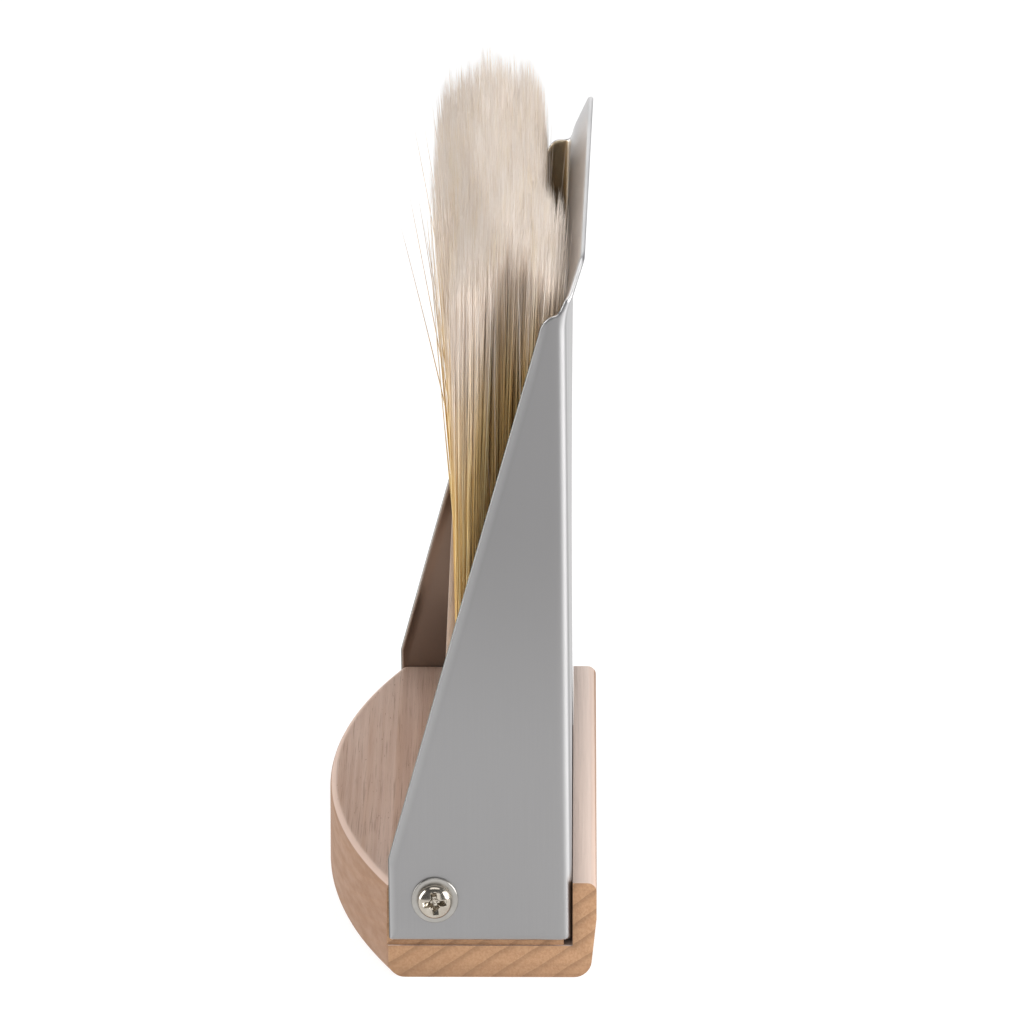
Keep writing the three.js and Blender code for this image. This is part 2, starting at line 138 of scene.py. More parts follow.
# The bristles
STRANDS_PER_TUFT = 330
STRAND_RADIUS = 0.08
STRAND_SIDES = 3
TIP_RADIUS_SHARE = 0.35
LOCKS_PER_TUFT = 16  # the small locks that the tips gather in
TIP_SPREAD_X = 3.2
TIP_SPREAD_Y = 3.9
TIP_JITTER = 0.22
ROOT_MARGIN = 0.2  # between the bristles and the wall of their hole
LOCK_HEIGHT = 1.0  # how unlike in height the locks are
LOCK_GATHER = (0.1, 0.5)  # how far the tips gather towards the middle of their lock
SHORTNESS = 2.0  # the mean of how much shorter a strand is than the trim
SWAY = 0.22
OPENING_POWER = 1.25  # how late a tuft opens up
GATHERING_POWER = 5  # how late the tips gather
TIP_LIFT = 2.0  # of the longest strands over the tips of the CAD tufts
BRUSH_HALF_SPREAD = 8.5
TUFT_REACH = 5  # tufts this near along Y give the middle of the brush
GOLDEN_SHIFT = 0.28  # painted shade: how much further up the golden part goes, from the open side to the floor
GOLDEN_OFFSET = 0.9  # where across the brush that sets in, in half spreads before the middle
GOLDEN_REACH = 1.1  # its greatest share
CROWN_START = 0.45  # where across the brush the trim starts to fall off, in half spreads
CROWN_DROP = 9  # how steeply the trim falls off at the two long sides of the brush
TRIM_REACH = 2.6  # over which the heights of the CAD tips are blended into one trimmed surface
SEED = 7

# The studio: each lamp's name, place, size and watts
LAMPS = [
    ("key", (900, -420, 380), 600, 11.5),
    ("front", (100, -1400, 420), 900, 3.2),
    ("fill", (-1000, 60, 400), 800, 9),
    ("top", (0, 0, 1500), 1200, 8),
    ("back", (0, 1300, 420), 900, 2.6),
]
FLOOR_CORNERS = [(-2500, -2500, 0), (2500, -2500, 0), (2500, 3500, 0), (-2500, 3500, 0)]

record = frame["record"]
BODY_OF = {node: body for body, nodes in record["behaviour"]["bodies"].items() for node in nodes}


def box_mm(node):
    """The lowest and highest corners of a CAD node, in millimetres."""
    low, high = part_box(node)
    return np.array(low) / MM, np.array(high) / MM


def node_points(node):
    """The vertices of a CAD node, in millimetres."""
    return np.array([v.co for v in frame["nodes"][node].data.vertices]) / MM


def finish_piece(piece, node, material):
    """The piece takes the place of a CAD node: its body and its material."""
    piece.data.materials.clear()
    piece.data.materials.append(material)
    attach(piece, BODY_OF[node])
    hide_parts(node)
    return piece


def new_object(name, mesh):
    piece = bpy.data.objects.new(name, mesh)
    bpy.context.scene.collection.objects.link(piece)
    return piece


def object_from(name, points, faces):
    """A mesh object from points in millimetres."""
    mesh = bpy.data.meshes.new(name)
    mesh.from_pydata((np.asarray(points) * MM).tolist(), [], [list(map(int, f)) for f in faces])
    mesh.validate()
    return new_object(name, mesh)


def prism(name, outline, place, low, high):
    """A closed prism: an outline of (u, v) points between two depths; place(u, v, w) gives x, y, z."""
    count = len(outline)
    points = [place(u, v, w) for w in (low, high) for u, v in outline]
    sides = [(i, (i + 1) % count, (i + 1) % count + count, i + count) for i in range(count)]
    faces = sides + [tuple(reversed(range(count))), tuple(range(count, 2 * count))]
    piece = object_from(name, points, faces)
    outward(piece)
    return piece


def outward(piece):
    """Turns all faces outwards."""
    work = bmesh.new()
    work.from_mesh(piece.data)
    bmesh.ops.recalc_face_normals(work, faces=work.faces)
    work.to_mesh(piece.data)
    work.free()


def apply_modifiers(piece):
    """Makes the result of the modifiers the piece's own mesh."""
    bpy.context.view_layer.update()
    evaluated = piece.evaluated_get(bpy.context.evaluated_depsgraph_get())
    mesh = bpy.data.meshes.new_from_object(evaluated)
    old = piece.data
    piece.modifiers.clear()
    piece.data = mesh
    bpy.data.meshes.remove(old)


def combine(piece, tool, operation):
    """Cuts the piece by the tool, or keeps what they share; the tool is used up."""
    step = piece.modifiers.new("combine", "BOOLEAN")
    step.operation = operation
    step.solver = "EXACT"
    step.object = tool
    apply_modifiers(piece)
    bpy.data.objects.remove(tool)


def soften(piece, width, segments=3, angle=25):
    """Rounds the edges that are sharper than the angle, then shades smoothly between what is still sharp."""
    step = piece.modifiers.new("soften", "BEVEL")
    step.width = width * MM
    step.segments = segments
    step.limit_method = "ANGLE"
    step.angle_limit = math.radians(angle)
    step.harden_normals = True
    apply_modifiers(piece)
    shade_smooth(piece)


def shade_smooth(piece, angle=40):
    for polygon in piece.data.polygons:
        polygon.use_smooth = True
    piece.data.set_sharp_from_angle(angle=math.radians(angle))


def rounded(corners, steps=8):
    """An outline from corners (u, v, radius), each rounded by that radius."""
    outline = []
    count = len(corners)
    for i, (u, v, radius) in enumerate(corners):
        here = np.array([u, v], float)
        if radius == 0:
            outline.append(tuple(here))
            continue
        before = np.array(corners[i - 1][:2], float) - here
        after = np.array(corners[(i + 1) % count][:2], float) - here
        before /= np.linalg.norm(before)
        after /= np.linalg.norm(after)
        half = math.acos(np.clip(before @ after, -1, 1)) / 2
        middle = (before + after) / np.linalg.norm(before + after)
        centre = here + middle * radius / math.sin(half)
        start = here + before * radius / math.tan(half) - centre
        stop = here + after * radius / math.tan(half) - centre
        sweep = math.pi - 2 * half
        for k in range(steps + 1):
            share = k / steps
            a = math.sin((1 - share) * sweep) / math.sin(sweep)
            b = math.sin(share * sweep) / math.sin(sweep)
            outline.append(tuple(centre + a * start + b * stop))
    return outline


def arc(centre_u, centre_v, radius, start, stop, steps):
    """Points along an arc, from one angle to another, in radians."""
    angles = np.linspace(start, stop, steps + 1)
    return [(centre_u + radius * math.cos(a), centre_v + radius * math.sin(a)) for a in angles]


def lathe(name, profile, sides):
    """Turns (radius, height) points about Y: the profile starts and ends on the axis, or closes on itself."""
    points = []
    for i in range(sides):
        angle = 2 * math.pi * i / sides
        points += [(r * math.cos(angle), h, r * math.sin(angle)) for r, h in profile]
    rows = len(profile)
    faces = []
    for i in range(sides):
        for j in range(rows):
            k = (j + 1) % rows
            n = ((i + 1) % sides) * rows
            faces.append((i * rows + j, i * rows + k, n + k, n + j))
    piece = object_from(name, points, faces)
    work = bmesh.new()
    work.from_mesh(piece.data)
    bmesh.ops.remove_doubles(work, verts=work.verts, dist=1e-7)
    bmesh.ops.dissolve_degenerate(work, edges=work.edges, dist=1e-7)
    work.to_mesh(piece.data)
    work.free()
    outward(piece)
    return piece


# ---------------------------------------------------------------- materials

def new_material(name):
    """A new node material, with its node tree and its Principled shader."""
    material = bpy.data.materials.new(name)
    material.use_nodes = True
    tree = material.node_tree
    shader = next(n for n in tree.nodes if n.type == "BSDF_PRINCIPLED")
    return material, tree, shader


def link(tree, output, socket):
    tree.links.new(output, socket)


def mapped(tree, scale, turn=(0, 0, 0)):
    """Object coordinates, turned and stretched."""
    place = tree.nodes.new("ShaderNodeTexCoord")
    mapping = tree.nodes.new("ShaderNodeMapping")
    mapping.vector_type = "TEXTURE"
    mapping.inputs["Rotation"].default_value = turn
    mapping.inputs["Scale"].default_value = [1 / s for s in scale]
    link(tree, place.outputs["Object"], mapping.inputs["Vector"])
    return mapping.outputs["Vector"]


def noise(tree, vector, scale=1.0, detail=4.0, rough=0.55, distort=0.0):
    node = tree.nodes.new("ShaderNodeTexNoise")
    node.inputs["Scale"].default_value = scale
    node.inputs["Detail"].default_value = detail
    node.inputs["Roughness"].default_value = rough
    node.inputs["Distortion"].default_value = distort
    link(tree, vector, node.inputs["Vector"])
    return node.outputs["Fac"]


def remap(tree, value, low, high, to_low=0.0, to_high=1.0, smooth=True):
    node = tree.nodes.new("ShaderNodeMapRange")
    node.interpolation_type = "SMOOTHSTEP" if smooth else "LINEAR"
    for socket, number in zip(("From Min", "From Max", "To Min", "To Max"), (low, high, to_low, to_high)):
        node.inputs[socket].default_value = number
    link(tree, value, node.inputs["Value"])
    return node.outputs["Result"]


def maths(tree, operation, first, second=None, third=None):
    node = tree.nodes.new("ShaderNodeMath")
    node.operation = operation
    for socket, value in zip(node.inputs, (first, second, third)):
        if isinstance(value, (int, float)):
            socket.default_value = value
        elif value is not None:
            link(tree, value, socket)
    return node.outputs[0]


def mix(tree, share, first, second, blend="MIX"):
    """Mixes two colours; each is an output or an RGB triple, and so is the share."""
    node = tree.nodes.new("ShaderNodeMix")
    node.data_type = "RGBA"
    node.blend_type = blend
    colours = [s for s in node.inputs if s.type == "RGBA"]
    factor = next(s for s in node.inputs if s.name == "Factor" and s.type == "VALUE")
    for socket, value in ((factor, share), (colours[0], first), (colours[1], second)):
        if isinstance(value, bpy.types.NodeSocket):
            link(tree, value, socket)
        elif socket.type == "RGBA":
            socket.default_value = (*value, 1)
        else:
            socket.default_value = value
    return next(s for s in node.outputs if s.type == "RGBA")


def bump(tree, shader, height, strength, distance):
    node = tree.nodes.new("ShaderNodeBump")
    node.inputs["Strength"].default_value = strength
    node.inputs["Distance"].default_value = distance * MM
    link(tree, height, node.inputs["Height"])
    link(tree, node.outputs["Normal"], shader.inputs["Normal"])


def band(tree, value, middle, half_width, softness):
    """One within a band of a value, and zero outside it."""
    distance = maths(tree, "ABSOLUTE", maths(tree, "SUBTRACT", value, middle * MM))
    return remap(tree, distance, (half_width + softness) * MM, half_width * MM)


def axes(tree, output):
    """The x, y and z of an object coordinate or of the object's normal."""
    place = tree.nodes.new("ShaderNodeTexCoord")
    parts = tree.nodes.new("ShaderNodeSeparateXYZ")
    link(tree, place.outputs[output], parts.inputs["Vector"])
    return parts.outputs


def growth_rings(tree, spacing):
    """Sloping bands across X and Z, sharp on one side, as the rings of a flat-sawn board."""
    wave = tree.nodes.new("ShaderNodeTexWave")
    wave.wave_type = "BANDS"
    wave.bands_direction = "Z"
    wave.wave_profile = "SAW"
    wave.inputs["Scale"].default_value = spacing
    wave.inputs["Distortion"].default_value = 1.6
    wave.inputs["Detail"].default_value = 3
    wave.inputs["Detail Scale"].default_value = 0.7
    link(tree, mapped(tree, (400, 4, 400), (0, math.radians(-34), 0)), wave.inputs["Vector"])
    return remap(tree, wave.outputs["Fac"], 0.55, 1.0)


def beech(name, face, side, end, arris_share=0.0, lit_strip_share=0.0):
    """Sanded beech with its grain along Y, with painted light and shade where noted. Each of face, side and
    end is a pair of tones, dark and light.
    """
    material, tree, shader = new_material(name)
    streaks = noise(tree, mapped(tree, (900, 14, 900)), 1.0, 5, 0.6)
    fine = noise(tree, mapped(tree, (3600, 55, 3600)), 1.0, 3, 0.6)
    soft = noise(tree, mapped(tree, (120, 9, 120)), 1.0, 3, 0.5)
    rings = growth_rings(tree, 0.3)
    flecks = remap(tree, noise(tree, mapped(tree, (3400, 420, 3400)), 1.0, 2, 0.5), 0.66, 0.76)
    pores = noise(tree, mapped(tree, (2600, 2600, 2600)), 1.0, 3, 0.6)

    place_x, _, place_z = axes(tree, "Object")
    _, normal_y, normal_z = axes(tree, "Normal")
    to_end = remap(tree, maths(tree, "ABSOLUTE", normal_y), 0.45, 0.95)
    to_face = remap(tree, maths(tree, "ABSOLUTE", normal_z), 0.35, 0.95)

    tone = remap(tree, streaks, 0.3, 0.7)
    # faces turned up or down take the face tones and the others the side tones; where the side tones are
    # darker, that is painted shade
    along = mix(tree, to_face, mix(tree, tone, *side), mix(tree, tone, *face))
    along = mix(tree, remap(tree, soft, 0.35, 0.65, 0, 0.35), along, side[0])
    along = mix(tree, maths(tree, "MULTIPLY", rings, 0.12), along, end[0])
    grain_share = maths(tree, "MULTIPLY_ADD", to_face, 0.42, 0.12)
    grain = maths(tree, "MULTIPLY", remap(tree, fine, 0.5, 0.72), grain_share)
    along = mix(tree, grain, along, [0.55 * c for c in side[0]])
    fleck_share = maths(tree, "MULTIPLY_ADD", to_face, 0.4, 0.15)
    along = mix(tree, maths(tree, "MULTIPLY", flecks, fleck_share), along, [0.42 * c for c in side[0]])
    # painted light: the top faces on the bench side are made paler, standing in for the lamp on the right
    # that lights them
    lit_strip_from, lit_strip_to = (x * MM for x in LIT_STRIP_X)
    painted_light = remap(tree, place_x, lit_strip_from, lit_strip_to, 0, lit_strip_share)
    painted_light = maths(tree, "MULTIPLY", to_face, painted_light)
    along = mix(tree, painted_light, along, (0.90, 0.74, 0.65))
    worn = band(tree, maths(tree, "MULTIPLY", maths(tree, "ABSOLUTE", normal_z), MM), 0.72, 0.17, 0.1)
    along = mix(tree, maths(tree, "MULTIPLY", worn, arris_share), along, [min(1, 1.15 * c) for c in face[1]])
    cut = mix(tree, remap(tree, pores, 0.3, 0.7), *end)
    cut = mix(tree, maths(tree, "MULTIPLY", rings, 0.55), cut, [0.6 * c for c in end[0]])
    # painted shade: the wood darkens towards the foot, standing in for the shade near the floor
    painted_foot_shade = remap(tree, place_z, SHADED_FOOT_Z * MM, 0, 0, 0.35)
    tone = mix(tree, painted_foot_shade, mix(tree, to_end, along, cut), [0.6 * c for c in end[0]])
    link(tree, tone, shader.inputs["Base Color"])
    link(tree, remap(tree, streaks, 0.3, 0.7, 0.68, 0.54), shader.inputs["Roughness"])
    shader.inputs["Specular IOR Level"].default_value = 0.3
    height = maths(tree, "SUBTRACT", maths(tree, "ADD", streaks, fine), maths(tree, "MULTIPLY", flecks, 0.6))
    bump(tree, shader, height, 0.4, 0.1)
    return material


def satin_steel():
    """Sheet steel with a satin finish: fine lines along Z, a cloudy sheen and small marks, with painted shade
    on the walls and the outer fold, a painted highlight on the walls' rolled edges and a painted reflection
    on their inner faces.
    """
    material, tree, shader = new_material("satin_steel")
    lines = noise(tree, mapped(tree, (5200, 5200, 60)), 1.0, 3, 0.6)
    clouds = noise(tree, mapped(tree, (60, 60, 22)), 1.0, 3, 0.5)
    grit = noise(tree, mapped(tree, (4200, 4200, 4200)), 1.0, 2, 0.5)
    tone = mix(tree, remap(tree, lines, 0.3, 0.7), (0.68, 0.672, 0.674), (0.74, 0.732, 0.734))
    tone = mix(tree, remap(tree, clouds, 0.35, 0.65, 0, 0.35), tone, (0.64, 0.63, 0.63))
    _, place_y, place_z = axes(tree, "Object")
    normal_x, normal_y, _ = axes(tree, "Normal")
    on_wall = remap(tree, maths(tree, "ABSOLUTE", normal_y), 0.6, 0.95)
    # painted shade: the walls, faces turned along Y, take a much darker tone than the rest of the sheet,
    # darker still towards the top
    wall_shade_from, wall_shade_to = (z * MM for z in WALL_SHADE_Z)
    painted_wall_shade = maths(tree, "MULTIPLY", on_wall, remap(tree, place_z, wall_shade_from, wall_shade_to, 0.84, 0.98))
    tone = mix(tree, painted_wall_shade, tone, (0.245, 0.241, 0.242))
    # painted shade: faces turned out towards +X, the outer part of the fold and the lip's outer face, are
    # darker
    tone = mix(tree, remap(tree, normal_x, 0.7, 0.95), tone, (0.36, 0.355, 0.356))
    # painted highlight: the rolled-over edges of the walls are made lighter
    rolled = maths(tree, "MULTIPLY", on_wall, remap(tree, normal_x, -0.05, -0.35, 0, 0.7))
    tone = mix(tree, rolled, tone, (0.50, 0.495, 0.497))
    rim_from, rim_to = ((box_mm("scoop_sheet")[1][1] - inset) * MM for inset in RIM_INSET)
    on_rim = remap(tree, maths(tree, "ABSOLUTE", place_y), rim_from, rim_to)
    sheared = maths(tree, "MULTIPLY", on_rim, remap(tree, normal_x, -0.45, -0.75))
    tone = mix(tree, sheared, tone, (0.14, 0.145, 0.14))
    # painted reflection: the walls' inner faces take the brown of the wood and the bristles in front of them,
    # paler towards the top where painted light stands in for the lit bristles
    facing_in = maths(tree, "MULTIPLY", normal_y, maths(tree, "SIGN", place_y))
    painted_reflection_share = remap(tree, clouds, 0.2, 0.8, 0.75, 0.95)
    painted_reflection = maths(tree, "MULTIPLY", remap(tree, facing_in, -0.5, -0.9), painted_reflection_share)
    reflection_pale_from, reflection_pale_to = (z * MM for z in REFLECTION_PALE_Z)
    painted_reflection_tone = mix(tree, remap(tree, place_z, reflection_pale_from, reflection_pale_to), (0.25, 0.18, 0.135), (0.85, 0.72, 0.50))
    tone = mix(tree, painted_reflection, tone, painted_reflection_tone)
    link(tree, tone, shader.inputs["Base Color"])
    shader.inputs["Metallic"].default_value = 1.0
    rough = maths(tree, "ADD", remap(tree, clouds, 0.3, 0.7, 0.32, 0.38), maths(tree, "MULTIPLY", grit, 0.05))
    link(tree, rough, shader.inputs["Roughness"])
    bump(tree, shader, maths(tree, "ADD", lines, maths(tree, "MULTIPLY", grit, 0.5)), 0.08, 0.02)
    return material


def plating(name, dark, light, rough):
    """Hazy plating, as on the screws and washers."""
    material, tree, shader = new_material(name)
    haze = noise(tree, mapped(tree, (700, 700, 700)), 1.0, 3, 0.5)
    link(tree, mix(tree, remap(tree, haze, 0.3, 0.7), dark, light), shader.inputs["Base Color"])
    shader.inputs["Metallic"].default_value = 1.0
    link(tree, remap(tree, haze, 0.3, 0.7, rough, 1.4 * rough), shader.inputs["Roughness"])
    bump(tree, shader, noise(tree, mapped(tree, (2500, 2500, 2500)), 1.0, 2, 0.5), 0.1, 0.02)
    return material


def bristle():
    """Natural bristle: golden brown at the root, partly as painted shade deep in the bundle, pale at the tip,
    no two strands quite alike.
    """
    material, tree, shader = new_material("bristle")
    along = tree.nodes.new("ShaderNodeAttribute")
    along.attribute_name = "along"
    strand = tree.nodes.new("ShaderNodeAttribute")
    strand.attribute_name = "strand"
    warm = remap(tree, strand.outputs["Fac"], 0.0, 1.0, smooth=False)
    # the golden brown at the root is partly the bristle's own tone and partly painted shade deep in the
    # bundle
    low = mix(tree, warm, (0.72, 0.44, 0.14), (0.95, 0.76, 0.40))
    high = mix(tree, warm, (0.80, 0.67, 0.56), (0.98, 0.90, 0.83))
    shade = noise(tree, mapped(tree, (500, 500, 40)), 1.0, 2, 0.5)
    streaks = noise(tree, mapped(tree, (330, 330, 36)), 1.0, 3, 0.6)
    high = mix(tree, remap(tree, streaks, 0.5, 0.68, 0, 0.55), high, (0.86, 0.70, 0.46))
    place = maths(tree, "ADD", along.outputs["Fac"], maths(tree, "MULTIPLY_ADD", shade, 0.36, -0.18))
    link(tree, mix(tree, remap(tree, place, 0.4, 0.86), low, high), shader.inputs["Base Color"])
    link(tree, remap(tree, warm, 0, 1, 0.45, 0.6), shader.inputs["Roughness"])
    shader.inputs["Specular IOR Level"].default_value = 0.2
    return material


# ---------------------------------------------------------------- the scoop's sheet

def floor_line():
    """Heights, and how far out the outer face of the floor and the lip lies at each, along the fold at -Y."""
    points = node_points("scoop_sheet")
    low, high = box_mm("scoop_sheet")
    at_fold = points[np.abs(points[:, 1] - low[1] - BEND_RADIUS) < SAME_LINE]
    at_fold = at_fold[at_fold[:, 2] < FLOOR_TOP_Z + 0.1]
    heights = np.unique(np.round(at_fold[:, 2], 2))
    outer = np.array([at_fold[np.abs(at_fold[:, 2] - z) < SAME_LINE, 0].max() for z in heights])
    fine = np.arange(low[2] - 1, high[2] + 3, 0.25)
    lip_bend = LIP_BEND_END_Z - FLOOR_TOP_Z
    bent = np.clip(fine - FLOOR_TOP_Z, 0, lip_bend) ** 2 / (2 * lip_bend)
    swing = LIP_SLOPE * (bent + np.maximum(fine - LIP_BEND_END_Z, 0))
    return fine, np.interp(fine, heights, outer) + swing


def blank_outline(side):
    """The top edge of one half of the flat sheet: (distance from the middle, height), to the wall's end."""
    low, high = box_mm("scoop_sheet")
    foot, top = LIP_ENDS[side]
    lip = rounded([(0, high[2], 0), (*top, LIP_ROUND), (*foot, 0)])
    flat = high[1] - BEND_RADIUS
    edge = [(min(y, flat) + max(y - flat, 0) * FOLD_STRETCH, z) for y, z in lip[1:]]
    fold = flat + BEND_LENGTH
    edge += [(fold + s, z) for s, z in WALL_TIPS[side]]
    heights, outer = floor_line()
    foot = np.interp(WALL_CORNER_Z, heights, outer)
    end = fold + foot - BEND_RADIUS - low[0]
    corner_z = WALL_CORNER_Z - (FAR_WALL_DROP if side > 0 else 0)
    run, rise = end - edge[-1][0], edge[-1][1] - corner_z
    edge.append((end - WALL_CORNER_RUN, corner_z + WALL_CORNER_RUN * rise / run))
    edge += [(end - inset, corner_z + height) for inset, height in WALL_CORNER_BLUNT]
    return np.array(edge)


def folded_point(s, z, heights, outer):
    """Where a point of the flat sheet lies once it is folded: on the sheet's middle surface."""
    high = box_mm("scoop_sheet")[1]
    side = np.sign(s)
    s = np.abs(s)
    flat = high[1] - BEND_RADIUS
    block_top = box_mm("scoop_back")[1][2]
    lift = np.maximum(0, (z - block_top) / (high[2] - block_top)) ** 2
    twist = SHEET_TWIST * lift * (side * np.minimum(s, flat) / flat + 1) / 2
    x_out = np.interp(z, heights, outer) + twist
    turn = np.clip((s - flat) / BEND_MIDDLE, 0, math.pi / 2)
    past = np.maximum(s - flat - BEND_LENGTH, 0)
    x = x_out - BEND_RADIUS + BEND_MIDDLE * np.cos(turn) - past
    y = np.minimum(s, flat) + BEND_MIDDLE * np.sin(turn)
    return np.stack([x, side * y, z], axis=-1)


def wall_curl(s, z, slope_top, slope_foot, low_z):
    """How far the sheared edges of the walls roll in, by the distance to the nearest free edge."""
    fold = box_mm("scoop_sheet")[1][1] - BEND_RADIUS + BEND_LENGTH
    (s1, z1), (s2, z2) = slope_top, slope_foot
    raised = z + np.where(s > 0, FAR_WALL_DROP, 0)
    length = math.hypot(s2 - s1, z2 - z1)
    slope = ((s2 - np.abs(s)) * (z1 - z2) - (raised - z2) * (s2 - s1)) / length
    distance = np.minimum(np.minimum(slope, s2 - np.abs(s)), z - low_z)
    roll = np.clip(1 - distance / CURL_WIDTH, 0, 1) ** 2
    return CURL_DEPTH * roll * np.clip((np.abs(s) - fold) / CURL_FADE, 0, 1)


def scoop_sheet(material):
    """The folded sheet as one grid of its middle surface, thickened, with a rounded rim."""
    low, high = box_mm("scoop_sheet")
    heights, outer = floor_line()
    edges = {side: blank_outline(side) for side in (-1, 1)}
    half = SHEET / 2
    flat = high[1] - BEND_RADIUS
    fold = flat + BEND_LENGTH
    corner = edges[1][0][0]
    end = edges[-1][-1][0]
    # the grid is finer towards the lip's ends, in the folds, and towards the free edges
    columns = np.concatenate([
        np.linspace(0, corner, 14)[:-1],
        corner + (flat - corner) * np.sin(np.linspace(0, math.pi / 2, 18))[:-1],
        np.linspace(flat, flat + 1, 16)[:-1],
        np.linspace(flat + 1, fold, 6)[:-1],
        np.linspace(fold, fold + 3, 14)[:-1],
        np.linspace(fold + 3, end - 3, 22)[:-1],
        end - 3 + (3 - half) * np.sin(np.linspace(0, math.pi / 2, 12)),
    ])
    columns = np.concatenate([-columns[:0:-1], columns])
    rows = np.concatenate([
        np.linspace(0, 0.03, 8)[:-1],
        np.linspace(0.03, 0.85, 26)[:-1],
        np.linspace(0.85, 1.0, 34),
    ])
    near_top, far_top = (np.interp(np.abs(columns), *edges[side].T) for side in (-1, 1))
    top = np.where(columns > 0, far_top, near_top) - half
    bottom = low[2] + half
    s = np.repeat(columns[None, :], len(rows), axis=0)
    z = bottom + rows[:, None] * (top - bottom)[None, :]

    def surface(s, z):
        point = folded_point(s, z, heights, outer)
        slope_foot = (end, WALL_CORNER_Z)
        point[..., 1] -= np.sign(s) * wall_curl(s, z, edges[-1][-4], slope_foot, low[2])
        return point

    step = 0.02
    middle = surface(s, z)
    along = surface(s + step, z) - surface(s - step, z)
    up = surface(s, z + step) - surface(s, z - step)
    normal = np.cross(along, up)
    normal /= np.linalg.norm(normal, axis=-1, keepdims=True)

    r, c = s.shape
    ring = ([(0, j) for j in range(c)] + [(i, c - 1) for i in range(1, r)]
            + [(r - 1, j) for j in range(c - 2, -1, -1)] + [(i, 0) for i in range(r - 2, 0, -1)])
    rim = np.array([middle[i, j] for i, j in ring])
    rim_normal = np.array([normal[i, j] for i, j in ring])
    tangent = np.roll(rim, -1, axis=0) - np.roll(rim, 1, axis=0)
    out = np.cross(tangent, rim_normal)
    out /= np.linalg.norm(out, axis=-1, keepdims=True)

    front = middle + normal * half
    back = middle - normal * half
    points = [front.reshape(-1, 3), back.reshape(-1, 3)]
    faces = []
    for i in range(r - 1):
        for j in range(c - 1):
            a, b, d, e = i * c + j, i * c + j + 1, (i + 1) * c + j + 1, (i + 1) * c + j
            faces.append((a, b, d, e))
            faces.append((e + r * c, d + r * c, b + r * c, a + r * c))
    steps = 6
    layers = [np.array([i * c + j for i, j in ring])]
    start = 2 * r * c
    for k in range(1, steps):
        angle = math.pi / 2 - math.pi * k / steps
        points.append(rim + half * (math.cos(angle) * out + math.sin(angle) * rim_normal))
        layers.append(np.arange(start, start + len(ring)))
        start += len(ring)
    layers.append(np.array([i * c + j + r * c for i, j in ring]))
    for one, two in zip(layers, layers[1:]):
        for k in range(len(ring)):
            n = (k + 1) % len(ring)
            faces.append((one[k], two[k], two[n], one[n]))
    piece = object_from("scoop_sheet_fine", np.concatenate(points), faces)
    outward(piece)
    washer_low, washer_high = box_mm("side_washer_1")
    middle_x, middle_z = (washer_low[0] + washer_high[0]) / 2, (washer_low[2] + washer_high[2]) / 2
    circle = arc(middle_x, middle_z, PILOT_RADIUS + 0.1, 0, 2 * math.pi * 47 / 48, 47)
    combine(piece, along_y("screw_holes", circle, low[1] - 2, high[1] + 2), "DIFFERENCE")
    shade_smooth(piece)
    return finish_piece(piece, "scoop_sheet", material)


# ---------------------------------------------------------------- the wooden pieces

def arch_outline(half, straight, ends, apex, steps=96):
    """A board's outline with one arched edge: (u, v) with v from -half to half."""
    rise = abs(apex - ends)
    radius = (half * half + rise * rise) / (2 * rise)
    sweep = math.asin(half / radius)
    swell = arc(apex + radius, 0, radius, math.pi - sweep, math.pi + sweep, steps)
    return [(straight, -half), (straight, half)] + swell


def edge_inset(distance, radius):
    """How far a rounded edge stands back, at one distance from the face that it runs into."""
    return radius - math.sqrt(radius ** 2 - (radius - distance) ** 2) if distance < radius else 0


def block_ring(z, low, high, open_x):
    """The scoop's wooden back at one height: a straight bench side, flat ends and an arched open side."""
    half = high[1]
    rise = open_x - low[0]
    radius = (half ** 2 + rise ** 2) / (2 * rise)
    foot = edge_inset(z, FOOT_ROUND)
    arch_radius = radius - foot - edge_inset(high[2] - z, ARCH_ROUND)
    bench_x = high[0] - TAPER * max(0, 1 - z / TAPER_Z) - foot - edge_inset(high[2] - z, BENCH_ROUND)
    sweep = math.asin(half / arch_radius)
    swell = arc(low[0] + radius, 0, arch_radius, math.pi - sweep, math.pi + sweep, 96)
    return [(x, y, z) for x, y in [(bench_x, -half), (bench_x, half)] + swell]


def loft(name, rings):
    """A closed skin through rings of points."""
    size = len(rings[0])
    points = [point for ring in rings for point in ring]
    faces = []
    for level in range(len(rings) - 1):
        for i in range(size):
            a, b = level * size + i, level * size + (i + 1) % size
            faces.append((a, b, b + size, a + size))
    last = len(points) - size
    faces += [tuple(reversed(range(size))), tuple(range(last, last + size))]
    piece = object_from(name, points, faces)
    outward(piece)
    return piece


def along_y(name, outline, low_y, high_y):
    """A closed prism along Y, from its outline of (x, z) points."""
    return prism(name, outline, lambda u, v, w: (u, w, v), low_y, high_y)


